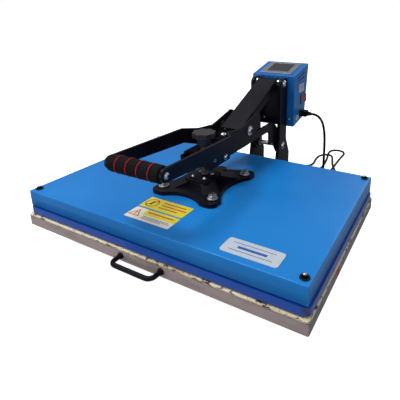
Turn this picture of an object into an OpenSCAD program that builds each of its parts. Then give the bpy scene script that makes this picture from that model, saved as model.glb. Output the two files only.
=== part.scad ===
// Swing-lever heat press with a 400 x 600 mm platen, a drawer base and a rear control box.
// X runs left to right, Y from the operator to the rear, Z up from the table.

/* [Platens] */
// Width of the sheet-metal platen cover
cover_w = 598; // [596:1:600]
// Depth of the platen cover
cover_d = 398; // [396:1:400]
// Height of the platen cover
cover_h = 32; // [30:1:32]
// Sheet thickness of the cover
cover_wall = 1.5; // [1:0.5:2]
// Thickness of the heated aluminium plate
plate_t = 14; // [13:1:15]
// Corner radius of the heated plate
plate_corner_r = 13; // [8:1:16]
// Width of the lower platen
platen_w = 607; // [606:1:616]
// Depth of the lower platen
platen_d = 410; // [406:1:416]
// Thickness of the lower platen
platen_t = 20; // [19:1:21]
// Corner radius of the lower platen and its pad
platen_corner_r = 3; // [2:0.5:6]
// Thickness of the silicone pad
pad_t = 5; // [4:1:6]
// Gap between the closed plate and the pad
pad_gap = 1.5; // [1:0.5:2.5]
// Shadow gap between the heated plate and the cover
cover_gap = 2.5; // [2:0.5:3]

/* [Base] */
// Height of the rubber feet
foot_h = 12; // [10:1:14]
// Diameter of the rubber feet
foot_d = 36; // [30:1:40]
// Side of the square base tube
tube_s = 30; // [28:1:31]
// Wall of the square base tube
tube_wall = 2; // [1.5:0.5:3]
// Height of the slide bay between the base tubes and the lower platen
slide_bay = 33; // [32:1:35]
// Thickness of the rear base plate
base_plate_t = 8; // [6:1:8]

/* [Linkage] */
// Height of the lift arm's pivot above the table
lift_pivot_z = 147; // [145:1:149]
// Height of the main arm's pivot above the table
arm_pivot_z = 316; // [314:1:318]
// Distance of both rear pivots behind the middle of the base
rear_pivot_y = 205; // [204:1:206]
// Distance from the lever's pivot to the main arm's front pin
crank = 45; // [44:1:46]
// Diameter of the pivot shafts
shaft_d = 12; // [11:1:13]
// Radial running clearance of a pivot
run = 0.05; // [0.02:0.01:0.1]

/* [Lever] */
// Distance between the inner faces of the two lever bars
grip_span = 112; // [110:1:114]
// Diameter of the foam grip
foam_d = 30; // [28:1:32]
// Diameter of the tube inside the grip
grip_tube_d = 19; // [18:1:21]
// Thickness of the lever bars
bar_t = 5; // [4:1:5]
// Number of raised rings round the foam grip
ring_count = 4; // [3:1:5]

/* [Knob] */
// Diameter of the pressure knob over its lobes
knob_d = 49; // [44:1:50]
// Number of lobes on the knob
knob_lobes = 8; // [6:1:10]
// Diameter of the pressure screw
screw_d = 16; // [14:1:16]
// Travel of the upper platen per turn of the pressure screw
screw_lead = 2; // [1.5:0.5:2]

/* [Control box] */
// Width of the control box
box_w = 124; // [122:1:128]
// Sheet thickness of the control box
box_wall = 1.5; // [1:0.5:2]
// Width of the display frame
bezel_w = 92; // [88:1:94]
// Width of the display's glass
screen_w = 62; // [58:1:64]

/* [Pull handle] */
// Hole spacing of the drawer's pull handle
pull_span = 92; // [88:2:98]
// Distance that the pull handle stands out
pull_reach = 30; // [28:1:32]

/* [Mains lead] */
// Diameter of the mains lead
cord_d = 7; // [6.5:0.5:7.5]

/* [Hidden] */
$fn = 64;
gap = 0.2;                       // slip fit between parts of one body

platen_y = -101;                 // middle of both platens
tube_top = foot_h + tube_s;
platen_z = tube_top + slide_bay; // underside of the lower platen
pad_z = platen_z + platen_t;
plate_z = pad_z + pad_t + pad_gap;
plate_top = plate_z + plate_t;
cover_z = plate_top + cover_gap;
top_z = cover_z + cover_h;       // top face of the platen cover
pad_lip = 1;                     // the pad stands proud of the platen

lift_pivot = [rear_pivot_y, lift_pivot_z];
arm_pivot = [rear_pivot_y, arm_pivot_z];
lever_pivot = [24, 238];
grip_axis = [-293, 256];
arm_dir = (arm_pivot - lever_pivot) / norm(arm_pivot - lever_pivot);
arm_pin = lever_pivot + crank * arm_dir;
arm_slope = atan2(arm_dir[1], arm_dir[0]);
crank_line = norm(arm_pivot - arm_pin);

// The layers of the linkage, as distances from the middle plane
arm_x = [21.5, 25.5];
lift_x = [27, 32];
lever_x = [33, 33 + bar_t];
post_x = [35, 43];
bar_x = [grip_span / 2, grip_span / 2 + bar_t];

cover_stud = [287, 184];         // corner studs, from the platen's middle
spider_stud = [59, 64];          // bracket studs, from the platen's middle
stud_d = 6;
spider_stud_d = 10;
bracket_t = 8;
hub_top = top_z + 22;
hub_half = [27, 30];
hub_y = platen_y - 7;
nut_z = [196, 226];
knob_z = [235, 254, 264];

foot_pos = [[165, -190], [165, 225]];
rail_x = [150, 180];
rail_y = [-215, 250];
base_plate_z = tube_top + base_plate_t;
post_foot_y = [176, 254];
post_top_y = [185, 231];

// The control box in profile: front, top, leaning back and rising underside
box_outline = [[233, 194], [233, 331], [333, 354], [313, 208]];
box_tilt = atan2(23, 100);
box_lean = atan2(20, 146);
box_x = box_w / 2;
box_inside = inset(box_outline, box_wall);
box_open = [[0, 0], [0, 0], [20, 4.6], [20, 3.5]]; // runs the hollow out through the back
back_len = norm(box_outline[2] - box_outline[3]);
bridge_y = [225, 233];           // the plate between the posts that carries the box
bridge_z = [200, 322];
bridge_screw = [22, bridge_y[0]];
face_screw = [48, box_outline[0][0]];
box_screw_z = [214, 300];
box_screw_d = 4;
bezel_s = [12, 95];              // the display frame and glass, up the tilted top
screen_s = [26, 86];
bezel_t = 2.5;
vents = [[[255, 320], [307, 332]], [[259, 311], [308, 321]]];
vent_w = 3;
switch_y = [283, 315];
switch_z = [250, 274];
inlet_y = [274, 304];
inlet_z = [209, 233];
rocker_x = box_x - 2;
rocker_h = 21.4;
rocker_pin_d = 3;

post_r = 14;                     // the posts' rounded top corners
post_round_z = 315;
cross_y = [rail_y[0] + 25, rail_y[1] - 85];
bolt_d = 8;
slide_y = [[-225, 158], [-230, 153], [-270, 100]];
slide_z = [tube_top + 2, platen_z - 3];

front_y = platen_y - platen_d / 2;
pull_x = 1.5;
pull_z = platen_z + 11;
pull_t = 9;
pull_w = 8;

lift_z = [202, 222];             // the lift plates' level limb
elbow = [146, 164];              // and the middle of their rear bend
elbow_r = 58;
lever_boss_r = 16;
nut_y = [-121, -61];
nut_bolts = [[-111, 216], [-71, 206]];
stop_y = -27;
stop_z = 212;
stop_head_z = 238;

bracket_w = 150;
bracket_d = 176;
bracket_sunk = 3;                // how far the raised parts reach down into the plate
hub_h = hub_top - top_z;
ridge_w = 32;
hub_plate_y = -111;
hub_plate_t = 2;
hub_screw = 14;
hub_screw_d = 4;
screw_z = [164, 258];
nut_bottom = top_z + bracket_t + 1;
nut_top = nut_bottom + 7;
element_d = 8;
element_half = 258;
pass_y = [-150, -100, -30, 30, 100, 150];

arm_u = [-40, crank_line];       // the main arm's length, from its front pin
arm_v = [-10.5, 13.5];           // and its depth about the pivot line
arm_web = 4;
arm_nose = 22;                   // how far the web runs on in front of the side walls
bend_y = [-96, -69];             // the step in the lever bars
ring_x0 = -34.5;
ring_pitch = 23.5;
grip_bolt_d = 6;

// The mains lead: out of the connector, down to the table, and two loops behind the press
route = [
    [92, 289, 221], [109, 289.5, 220.5], [125, 290, 205], [132, 291, 175], [134, 291, 142],
    [134, 292, 108], [134, 293, 72], [130, 303, 27], [126, 338, 3.6], [121, 390, 3.6],
    [119, 445, 3.6], [117.5, 500, 3.6], [116, 558, 3.6], [120, 597.5, 3.6], [106, 623, 3.6],
    [76, 623, 3.6], [62, 597.5, 3.6], [70, 560, 3.6], [79, 518, 3.6], [86, 460, 3.6],
    [85, 410, 3.6], [62, 370, 3.6], [12, 352, 3.6], [-44, 350, 3.6], [-80, 370, 3.6],
    [-81, 408, 3.6], [-46, 427, 3.6], [-4, 420, 3.6], [34, 422, 3.6], [53, 446, 3.6],
    [48, 482, 4], [44.5, 512, 6], [52, 535, 8.5], [72, 544, 11.5], [92, 535, 13],
    [99.5, 512, 9.8], [109, 476, 10], [122, 440, 13], [144, 400, 10.5], [166, 362, 10]];
plug_turn = -66;

// ---- shared shapes ----

// Limits about a middle, and limits drawn in at both ends
function span(middle, half) = [middle - half, middle + half];
function shrink(limits, t) = [limits[0] + t, limits[1] - t];
function mean_of(limits) = (limits[0] + limits[1]) / 2;

// A box given by its limits along each axis
module slab(x, y, z)
    translate([x[0], y[0], z[0]]) cube([x[1] - x[0], y[1] - y[0], z[1] - z[0]]);

// A profile drawn in Y and Z, extruded along X
module along_x(x)
    translate([x[0], 0, 0]) rotate([90, 0, 90]) linear_extrude(x[1] - x[0]) children();

module rod_x(x, d, yz)
    translate([x[0], yz[0], yz[1]]) rotate([0, 90, 0]) cylinder(h = x[1] - x[0], d = d);

module rod_z(xy, z, d)
    translate([xy[0], xy[1], z[0]]) cylinder(h = z[1] - z[0], d = d);

module ring_x(x, d_out, d_in, yz)
    difference() {
        rod_x(x, d_out, yz);
        rod_x([x[0] - 1, x[1] + 1], d_in, yz);
    }

// A domed cap of diameter d and height h, standing on z = 0
module dome(d, h) {
    r = (d * d / 4 + h * h) / (2 * h);
    rotate_extrude()
        intersection() {
            translate([0, h - r]) circle(r);
            square([d / 2, h]);
        }
}

module mirrored(v) {
    children();
    mirror(v) children();
}

module four_ways() mirrored([1, 0, 0]) mirrored([0, 1, 0]) children();

module rounded_rect(w, d, r) {
    square([w - 2 * r, d], center = true);
    square([w, d - 2 * r], center = true);
    for (x = [-1, 1], y = [-1, 1])
        translate([x * (w / 2 - r), y * (d / 2 - r)]) circle(r);
}

// A convex outline moved inwards by t; its points run clockwise
function edge_in(a, b, t) =
    let (d = (b - a) / norm(b - a))
    [a + t * [d[1], -d[0]], d];
function crossing(e, f) =
    let (k = e[1][0] * f[1][1] - e[1][1] * f[1][0])
    let (s = ((f[0][0] - e[0][0]) * f[1][1] - (f[0][1] - e[0][1]) * f[1][0]) / k)
    e[0] + s * e[1];
function inset(p, t) =
    let (n = len(p))
    [for (i = [0:n - 1])
        crossing(edge_in(p[(i + n - 1) % n], p[i], t), edge_in(p[i], p[(i + 1) % n], t))];

// ---- base ----

module base_rail()
    color("#202024")
        difference() {
            slab(rail_x, rail_y, [foot_h, tube_top]);
            slab([rail_x[0] + tube_wall, rail_x[1] - tube_wall], [rail_y[0] - 1, rail_y[1] + 1],
                 [foot_h + tube_wall, tube_top - tube_wall]);
        }
module base_rail_left() mirror([1, 0, 0]) base_rail();
module base_rail_right() base_rail();

module base_cross_tubes()
    color("#202024")
        for (y = cross_y)
            difference() {
                slab([-rail_x[0], rail_x[0]], [y, y + tube_s], [foot_h, tube_top]);
                slab([-rail_x[0] - 1, rail_x[0] + 1], [y + tube_wall, y + tube_s - tube_wall],
                     [foot_h + tube_wall, tube_top - tube_wall]);
            }

module base_plate()
    color("#202024") slab([-rail_x[1], rail_x[1]], [165, rail_y[1]], [tube_top, base_plate_z]);

module rubber_feet()
    color("#151515")
        mirrored([1, 0, 0])
            for (p = foot_pos)
                translate([p[0], p[1], 0])
                    rotate_extrude()
                        polygon([[0, 0], [foot_d / 2 - 2, 0], [foot_d / 2, 2],
                                 [foot_d / 2 - 3, foot_h], [0, foot_h]]);

// ---- rear posts and pivots ----

module post_outline() {
    polygon([[post_foot_y[0], base_plate_z], [post_foot_y[1], base_plate_z],
             [post_foot_y[1], 115], [post_top_y[1], 160],
             [post_top_y[1], post_round_z], [post_top_y[0], post_round_z],
             [post_top_y[0], 160], [post_foot_y[0], 115]]);
    translate([post_top_y[0] + post_r, post_round_z])
        square([post_top_y[1] - post_top_y[0] - 2 * post_r, post_r]);
    for (y = [post_top_y[0] + post_r, post_top_y[1] - post_r])
        translate([y, post_round_z]) circle(post_r);
}

module post()
    color("#202024")
        difference() {
            along_x(post_x) post_outline();
            rod_x([post_x[0] - 1, post_x[1] + 1], shaft_d, lift_pivot);
            rod_x([post_x[0] - 1, post_x[1] + 1], shaft_d, arm_pivot);
        }
module post_left() mirror([1, 0, 0]) post();
module post_right() post();

// Holes for the screws through the bridge, from its front face through the box's wall
module bridge_holes()
    mirrored([1, 0, 0])
        for (z = box_screw_z)
            translate([bridge_screw[0], bridge_y[0] - 1, z])
                rotate([-90, 0, 0]) cylinder(h = 14, d = box_screw_d);

// The plate welded between the posts, which the control box is screwed to
module post_bridge()
    color("#202024")
        difference() {
            slab([-post_x[0], post_x[0]], bridge_y, bridge_z);
            bridge_holes();
        }

module pivot_shaft(yz)
    color("#8a8d90")
        difference() {
            rod_x([-post_x[1], post_x[1]], shaft_d, yz);
            mirrored([1, 0, 0]) rod_x([post_x[1] - 18, post_x[1] + 1], bolt_d, yz);
        }
module lower_shaft() pivot_shaft(lift_pivot);
module upper_shaft() pivot_shaft(arm_pivot);

// A domed bolt with its washer, driven in from the right
module side_bolt(x, yz, shank, head_d, shank_d, washer_t = 1.5) {
    rod_x([x - shank, x + washer_t], shank_d, yz);
    rod_x([x, x + washer_t], head_d + 3, yz);
    translate([x + washer_t, yz[0], yz[1]]) rotate([0, 90, 0]) dome(head_d, head_d * 0.34);
}

module shaft_bolts()
    color("silver")
        mirrored([1, 0, 0])
            for (yz = [lift_pivot, arm_pivot])
                side_bolt(post_x[1], yz, 16, 17, bolt_d);

module shaft_spacers()
    color("#8a8d90")
        mirrored([1, 0, 0]) {
            ring_x([lift_x[1] + gap, post_x[0]], 20, shaft_d, lift_pivot);
            ring_x([lift_x[0] - 5, lift_x[0] - gap], 20, shaft_d, lift_pivot);
            ring_x([arm_x[1] + gap, post_x[0]], 20, shaft_d, arm_pivot);
        }

// ---- drawer slides ----

module slide_outer()
    color("#b9bcc0")
        mirrored([1, 0, 0])
            difference() {
                union() {
                    slab([153, 165], slide_y[0], slide_z);
                    slab([165, 170], slide_y[0], [tube_top, slide_z[1]]);
                    slab([160, 165], slide_y[0], [tube_top, slide_z[0]]);
                }
                slab([152, 163], shrink(slide_y[0], -1), shrink(slide_z, 2));
            }

module slide_middle()
    color("#c6c9cc")
        mirrored([1, 0, 0])
            difference() {
                slab([153, 162.5], slide_y[1], shrink(slide_z, 2.4));
                slab([152, 161], shrink(slide_y[1], -1), shrink(slide_z, 4));
            }

module slide_inner()
    color("#c6c9cc")
        mirrored([1, 0, 0]) {
            slab([148, 151.5], slide_y[2], [slide_z[0] + 6, platen_z]);
            slab([151.5, 160.6], slide_y[2], shrink(slide_z, 4.4));
        }

// ---- drawer ----

module lower_platen()
    color("#9b9084")
        translate([0, platen_y, platen_z])
            linear_extrude(platen_t) rounded_rect(platen_w, platen_d, platen_corner_r);

module platen_pad()
    color("#d9cdb0")
        translate([0, platen_y, pad_z])
            linear_extrude(pad_t) rounded_rect(platen_w + pad_lip, platen_d + pad_lip, platen_corner_r);

// A bow with chamfered corners, standing out from the platen's front edge
module pull_handle()
    color("#141414")
        difference() {
            translate([0, 0, pull_z - pull_t / 2])
                linear_extrude(pull_t)
                    difference() {
                        polygon(bow(pull_span / 2 + pull_w / 2, pull_reach, 9));
                        polygon(bow(pull_span / 2 - pull_w / 2, pull_reach - pull_w, 7));
                    }
            for (x = [-1, 1])
                translate([pull_x + x * pull_span / 2, front_y + 1, pull_z])
                    rotate([90, 0, 0]) cylinder(h = 13, d = 4);
        }
function bow(half, reach, cut) = [
    [pull_x - half, front_y], [pull_x + half, front_y],
    [pull_x + half, front_y - reach + cut], [pull_x + half - cut, front_y - reach],
    [pull_x - half + cut, front_y - reach], [pull_x - half, front_y - reach + cut]];

// The threaded parts of the handle's screws, inside the bow's legs
module pull_screws()
    color("silver")
        for (x = [-1, 1])
            translate([pull_x + x * pull_span / 2, front_y, pull_z])
                rotate([90, 0, 0]) cylinder(h = 11, d = 4 - gap);

// ---- lift arm ----

module lift_outline() {
    translate([-140, lift_z[0]]) square([elbow[0] + 140, lift_z[1] - lift_z[0]]);
    translate([nut_y[0] - 8, nut_z[0]]) square([nut_y[1] - nut_y[0] + 16, nut_z[1] - nut_z[0]]);
    polygon([[-12, lift_z[1] - 1], [62, lift_z[1] - 1], lever_pivot + [14, 8],
             lever_pivot + [-14, 8]]);
    translate(lever_pivot) circle(lever_boss_r);
    intersection() {
        translate(elbow) circle(elbow_r);
        translate(elbow) square(elbow_r);
    }
    polygon([elbow + [-9, 40], elbow + [8, 22], elbow + [20, 5],
             lift_pivot + [-18, -8], lift_pivot + [18, 9], elbow + [49, 27], elbow + [0, 50]]);
    translate(lift_pivot) circle(20);
}

module lift_plate()
    color("#202024")
        difference() {
            along_x(lift_x) lift_outline();
            rod_x([lift_x[0] - 1, lift_x[1] + 1], shaft_d + 2 * run, lift_pivot);
            rod_x([lift_x[0] - 1, lift_x[1] + 1], shaft_d, lever_pivot);
            for (yz = nut_bolts)
                rod_x([lift_x[0] - 1, lift_x[1] + 1], bolt_d, yz);
            rod_x([lift_x[0] - 1, lift_x[1] + 1], bolt_d, [stop_y, stop_z]);
        }
module lift_plate_left() mirror([1, 0, 0]) lift_plate();
module lift_plate_right() lift_plate();

// The threaded block between the lift plates, which the pressure screw turns in
module nut_block()
    color("#2a2a2e")
        difference() {
            slab([-lift_x[0], lift_x[0]], nut_y, nut_z);
            rod_z([0, platen_y], [nut_z[0] - 1, nut_z[1] + 1], screw_d + 2 * run);
            mirrored([1, 0, 0])
                for (yz = nut_bolts)
                    rod_x([lift_x[0] - 15, lift_x[0] + 1], bolt_d, yz);
        }

// Cross plate for the screw that stops the main arm
module stop_plate()
    color("#2a2a2e")
        difference() {
            slab([-lift_x[0], lift_x[0]], [stop_y - 12, stop_y + 12], [stop_z - 7, stop_z + 7]);
            rod_z([0, stop_y], [stop_z - 8, stop_z + 8], stud_d);
            mirrored([1, 0, 0]) rod_x([lift_x[0] - 15, lift_x[0] + 1], bolt_d, [stop_y, stop_z]);
        }

// The bolts through the lift plates, the cross plate's flush pins, and the stop screw
module lift_bolts()
    color("silver") {
        mirrored([1, 0, 0]) {
            for (yz = nut_bolts)
                side_bolt(lift_x[1], yz, 17, 11, bolt_d, 1);
            rod_x([lift_x[1] - 17, lift_x[1]], bolt_d, [stop_y, stop_z]);
        }
        rod_z([0, stop_y], [stop_z - 6, stop_head_z], stud_d);
        translate([0, stop_y, stop_head_z]) dome(14, 4);
    }

// The pins that the lever turns on, with a shoulder between lift plate and lever
module lever_bolts()
    color("silver")
        mirrored([1, 0, 0]) {
            rod_x([lift_x[0] - 0.7, lever_x[1] + 0.3], shaft_d, lever_pivot);
            rod_x([lift_x[1], lever_x[0] - gap], 22, lever_pivot);
            rod_x([lever_x[1] + 0.3, lever_x[1] + 1.8], 22, lever_pivot);
            translate([lever_x[1] + 1.8, lever_pivot[0], lever_pivot[1]])
                rotate([0, 90, 0]) dome(14, 5);
        }

// ---- upper platen ----

module bracket_outline()
    difference() {
        rounded_rect(bracket_w, bracket_d, 14);
        mirrored([0, 1, 0]) translate([0, 139]) circle(68);
        mirrored([1, 0, 0]) translate([150, 0]) circle(96);
    }

// A ridge that falls from the hub to one leg of the bracket
module bracket_ridge()
    rotate([0, 0, atan2(spider_stud[1], spider_stud[0])])
        rotate([90, 0, 0]) translate([0, 0, -ridge_w / 2])
            linear_extrude(ridge_w)
                polygon([[5, bracket_sunk], [72, bracket_sunk], [67, bracket_t + 0.4],
                         [28, hub_h - 1], [5, hub_h - 1]]);

module spider_bracket()
    color("#232327")
        difference() {
            translate([0, platen_y, top_z]) {
                linear_extrude(bracket_t) bracket_outline();
                four_ways() bracket_ridge();
                translate([0, hub_y - platen_y, bracket_sunk])
                    linear_extrude(hub_h - bracket_sunk)
                        rounded_rect(2 * hub_half[0], 2 * hub_half[1], 6);
                translate([0, 58, bracket_sunk]) cylinder(h = bracket_t + 2, d = 28);
                four_ways()
                    translate([spider_stud[0], spider_stud[1], bracket_sunk])
                        cylinder(h = nut_bottom - top_z - bracket_sunk, d = 24);
            }
            rod_z([0, platen_y], [screw_z[0], hub_top + 1], screw_d + 2 * run);
            for (x = [-1, 1], y = [-1, 1]) {
                rod_z([x * spider_stud[0], platen_y + y * spider_stud[1]],
                      [top_z - 1, top_z + 30], spider_stud_d + gap);
                rod_z([x * hub_screw, hub_plate_y + y * hub_screw],
                      [hub_top - 7, hub_top + 1], hub_screw_d);
            }
        }

// Studs that carry the heated plate, each with a spacer collar under the cover
module collared_studs(at, d, collar_d, top)
    for (x = [-1, 1], y = [-1, 1]) {
        rod_z([x * at[0], platen_y + y * at[1]], [plate_top - 7, top], d);
        rod_z([x * at[0], platen_y + y * at[1]], [plate_top, top_z - cover_wall], collar_d);
    }
module spider_studs() color("#8a8d90") collared_studs(spider_stud, spider_stud_d, 20, nut_top + 3);
module cover_studs() color("#8a8d90") collared_studs(cover_stud, stud_d, 12, top_z + 4);

module spider_nuts()
    color("silver")
        for (x = [-1, 1], y = [-1, 1])
            difference() {
                translate([x * spider_stud[0], platen_y + y * spider_stud[1], nut_bottom]) {
                    cylinder(h = 2, d = 21);
                    cylinder(h = nut_top - nut_bottom, d = 18, $fn = 6);
                }
                rod_z([x * spider_stud[0], platen_y + y * spider_stud[1]],
                      [nut_bottom - 1, nut_top + 1], spider_stud_d);
            }

module hub_plate()
    color("#2c2c30")
        difference() {
            translate([0, hub_plate_y, hub_top])
                linear_extrude(hub_plate_t) rounded_rect(42, 40, 7);
            rod_z([0, platen_y], [hub_top - 1, hub_top + 5], screw_d + 1);
            for (x = [-1, 1], y = [-1, 1])
                rod_z([x * hub_screw, hub_plate_y + y * hub_screw],
                      [hub_top - 1, hub_top + 5], hub_screw_d);
        }

module hub_screws()
    color("silver")
        for (x = [-1, 1], y = [-1, 1])
            translate([x * hub_screw, hub_plate_y + y * hub_screw, hub_top + hub_plate_t]) {
                translate([0, 0, -8]) cylinder(h = 8, d = hub_screw_d);
                dome(8, 2.6);
            }

module top_cover()
    color("#1d7fd6")
        difference() {
            slab(span(0, cover_w / 2), span(platen_y, cover_d / 2), [cover_z, top_z]);
            slab(span(0, cover_w / 2 - cover_wall), span(platen_y, cover_d / 2 - cover_wall),
                 [cover_z - 1, top_z - cover_wall]);
            for (x = [-1, 1], y = [-1, 1]) {
                rod_z([x * cover_stud[0], platen_y + y * cover_stud[1]],
                      [top_z - 5, top_z + 1], stud_d + gap);
                rod_z([x * spider_stud[0], platen_y + y * spider_stud[1]],
                      [top_z - 5, top_z + 1], spider_stud_d + gap);
            }
        }

module cover_washers()
    color("#101010")
        for (x = [-1, 1], y = [-1, 1])
            difference() {
                rod_z([x * cover_stud[0], platen_y + y * cover_stud[1]], [top_z, top_z + 2], 15);
                rod_z([x * cover_stud[0], platen_y + y * cover_stud[1]],
                      [top_z - 1, top_z + 3], stud_d + gap);
            }

module cover_nuts()
    color("silver")
        for (x = [-1, 1], y = [-1, 1])
            difference() {
                translate([x * cover_stud[0], platen_y + y * cover_stud[1], top_z + 2]) {
                    cylinder(h = 3, d = 9.4, $fn = 6);
                    translate([0, 0, 3]) dome(8, 3);
                }
                rod_z([x * cover_stud[0], platen_y + y * cover_stud[1]],
                      [top_z + 1, top_z + 4], stud_d);
            }

module heating_plate()
    color("#123f86")
        difference() {
            translate([0, platen_y, plate_z])
                linear_extrude(plate_t) rounded_rect(cover_w + 6, cover_d + 6, plate_corner_r);
            for (x = [-1, 1], y = [-1, 1]) {
                rod_z([x * cover_stud[0], platen_y + y * cover_stud[1]],
                      [plate_top - 7, plate_top + 1], stud_d);
                rod_z([x * spider_stud[0], platen_y + y * spider_stud[1]],
                      [plate_top - 7, plate_top + 1], spider_stud_d);
            }
        }

// A tubular element that runs to and fro across the plate in six passes
module heating_element()
    color("#8c6b52")
        translate([0, platen_y, plate_top + element_d / 2 + gap]) {
            for (i = [0:len(pass_y) - 1])
                translate([-pass_end(i - 1), pass_y[i], 0])
                    rotate([0, 90, 0])
                        cylinder(h = pass_end(i - 1) + pass_end(i), d = element_d);
            for (i = [0:len(pass_y) - 2])
                translate([(i % 2 == 0 ? 1 : -1) * pass_end(i), (pass_y[i] + pass_y[i + 1]) / 2, 0])
                    rotate([0, 0, i % 2 == 0 ? -90 : 90])
                        rotate_extrude(angle = 180)
                            translate([pass_r(i), 0]) circle(d = element_d);
        }
function pass_r(i) = (pass_y[i + 1] - pass_y[i]) / 2;
function pass_end(i) = element_half - (i < 0 || i > len(pass_y) - 2 ? 0 : pass_r(i));

module insulation()
    color("#e6e0cf")
        difference() {
            translate([0, platen_y, plate_top + element_d + 2 * gap])
                linear_extrude(18) rounded_rect(550, 350, 10);
            for (x = [-1, 1], y = [-1, 1])
                rod_z([x * spider_stud[0], platen_y + y * spider_stud[1]],
                      [plate_top, top_z], 22);
        }

module label(size, at, t, r)
    translate([at[0], platen_y + at[1], top_z]) linear_extrude(t) rounded_rect(size[0], size[1], r);
module safety_labels()
    color("#d3d51c") {
        label([100, 38], [-7, -120], 0.4, 2);
        label([100, 36], [-6, -161], 0.4, 2);
    }
module name_plate() color("#c3cdd8") label([98, 38], [197, -166], 0.6, 6);

// ---- pressure screw ----

module pressure_screw()
    color("#b5b8bb") rod_z([0, platen_y], [screw_z[0] + gap, screw_z[1]], screw_d);

module pressure_knob()
    color("#2b2b2b")
        difference() {
            translate([0, platen_y, 0]) {
                translate([0, 0, knob_z[0]]) cylinder(h = knob_z[1] - knob_z[0], d1 = 24, d2 = 32);
                translate([0, 0, knob_z[1]])
                    linear_extrude(knob_z[2] - knob_z[1]) {
                        circle(d = knob_d - 5);
                        for (i = [0:knob_lobes - 1])
                            rotate(i * 360 / knob_lobes)
                                translate([knob_d / 2 - 6, 0]) circle(6);
                    }
            }
            rod_z([0, platen_y], [knob_z[0] - 1, screw_z[1]], screw_d);
        }

// ---- main arm ----

// Drawn along its own pivot line: the front pin is the origin and u runs to the rear pivot
module along_arm()
    translate([0, arm_pin[0], arm_pin[1]]) rotate([arm_slope, 0, 0]) children();

module main_arm()
    color("#2a282c")
        difference() {
            along_arm()
                difference() {
                    union() {
                        slab(span(0, arm_x[1]), arm_u, arm_v);
                        slab(span(0, arm_x[1]), [arm_u[0] - arm_nose, arm_u[0]],
                             [arm_v[1] - arm_web, arm_v[1]]);
                        rod_x(span(0, arm_x[1]), 2 * arm_v[1], [arm_u[1], 0]);
                    }
                    slab(span(0, arm_x[0]), [arm_u[0] - 1, arm_u[1] + 20],
                         [arm_v[0] - 5, arm_v[1] - arm_web]);
                    slab(span(0, arm_x[0]), [arm_u[1] - 2, arm_u[1] + 20],
                         [arm_v[1] - arm_web - 1, arm_v[1] + 1]);
                }
            rod_x([-30, 30], shaft_d + 2 * run, arm_pivot);
        }

// ---- lever ----

// The bar's side view, from the grip's boss past the pivot to the main arm's pin
module lever_outline() {
    polygon([[grip_axis[0], grip_axis[1] - 12], [bend_y[0], 230], [-60, 219], [-16, 206],
             [22, 206], [46, 215], arm_pin + [12, -7], arm_pin + [-5, 13],
             [-13, 252], [bend_y[0], 262], [grip_axis[0], grip_axis[1] + 12]]);
    translate(grip_axis) circle(12);
    translate(arm_pin) circle(14);
}

// The bar's plan: straight along the grip, stepped inwards, then along the lift plate
module lever_plan()
    polygon([[bar_x[0], grip_axis[0] - 13], [bar_x[1], grip_axis[0] - 13],
             [bar_x[1], bend_y[0]], [lever_x[1], bend_y[1]], [lever_x[1], arm_pin[0] + 15],
             [lever_x[0], arm_pin[0] + 15], [lever_x[0], bend_y[1]], [bar_x[0], bend_y[0]]]);

module lever_bar()
    color("#1c1a24")
        difference() {
            intersection() {
                along_x([lever_x[0] - 1, bar_x[1] + 1]) lever_outline();
                translate([0, 0, 190]) linear_extrude(100) lever_plan();
            }
            rod_x([lever_x[0] - 1, lever_x[1] + 1], shaft_d + 2 * run, lever_pivot);
            rod_x([bar_x[0] - 1, bar_x[1] + 1], grip_bolt_d, grip_axis);
        }
module lever_bar_left() mirror([1, 0, 0]) lever_bar();
module lever_bar_right() lever_bar();

module grip_tube() color("#8a8d90") ring_x(span(0, bar_x[0]), grip_tube_d, grip_bolt_d, grip_axis);

module foam_grip()
    color("#181818") ring_x(span(0, bar_x[0] - 1), foam_d, grip_tube_d, grip_axis);

module grip_rings()
    color("#a8202c")
        for (i = [0:ring_count - 1])
            translate([ring_x0 + i * ring_pitch, 0, 0])
                ring_x([-1, 1], foam_d + 1.6, foam_d, grip_axis);

module grip_bolts()
    color("silver") mirrored([1, 0, 0]) side_bolt(bar_x[1], grip_axis, 18, 9, grip_bolt_d, 1);

// ---- control box ----

// A frame whose x-y plane lies on the box's tilted top, with its origin at the front edge
module on_box_top()
    translate([0, box_outline[1][0], box_outline[1][1]]) rotate([box_tilt, 0, 0]) children();

// A frame whose z axis points out of the box's leaning back
module on_box_back()
    translate([0, box_outline[3][0], box_outline[3][1]]) rotate([-90 - box_lean, 0, 0]) children();

module box_shell()
    color("#1668c4")
        difference() {
            along_x(span(0, box_x)) polygon(box_outline);
            along_x(span(0, box_x - box_wall))
                polygon(box_inside + box_open);
            on_box_top()
                slab(span(0, screen_w / 2 + gap), shrink(screen_s, -gap), [-5, 5]);
            for (v = vents)
                along_x([box_x - 3, box_x + 1])
                    translate(v[0]) rotate(atan2(v[1][1] - v[0][1], v[1][0] - v[0][0]))
                        square([norm(v[1] - v[0]), vent_w]);
            slab([box_x - 3, box_x + 1], switch_y, switch_z);
            slab([box_x - 3, box_x + 1], shrink(inlet_y, 2), shrink(inlet_z, 2));
            bridge_holes();
            mirrored([1, 0, 0])
                translate([face_screw[0], face_screw[1] - 1, box_screw_z[0]])
                    rotate([-90, 0, 0]) cylinder(h = 4, d = box_screw_d);
        }

// The cover that closes the leaning back
module box_back()
    color("#1668c4")
        on_box_back()
            difference() {
                slab(span(0, box_x), [-back_len, 0], [0, box_wall]);
                back_holes() cylinder(h = 10, d = box_screw_d, center = true);
            }
module back_holes()
    for (x = [-1, 1], y = [-14, 14 - back_len])
        translate([x * (box_x - 12), y, 0]) children();

// A screw driven rearwards into the face at y
module box_screw(at, z, shank)
    translate([at[0], at[1], z]) {
        rotate([-90, 0, 0]) cylinder(h = shank, d = box_screw_d);
        rotate([90, 0, 0]) dome(7, 2.2);
    }

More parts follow.
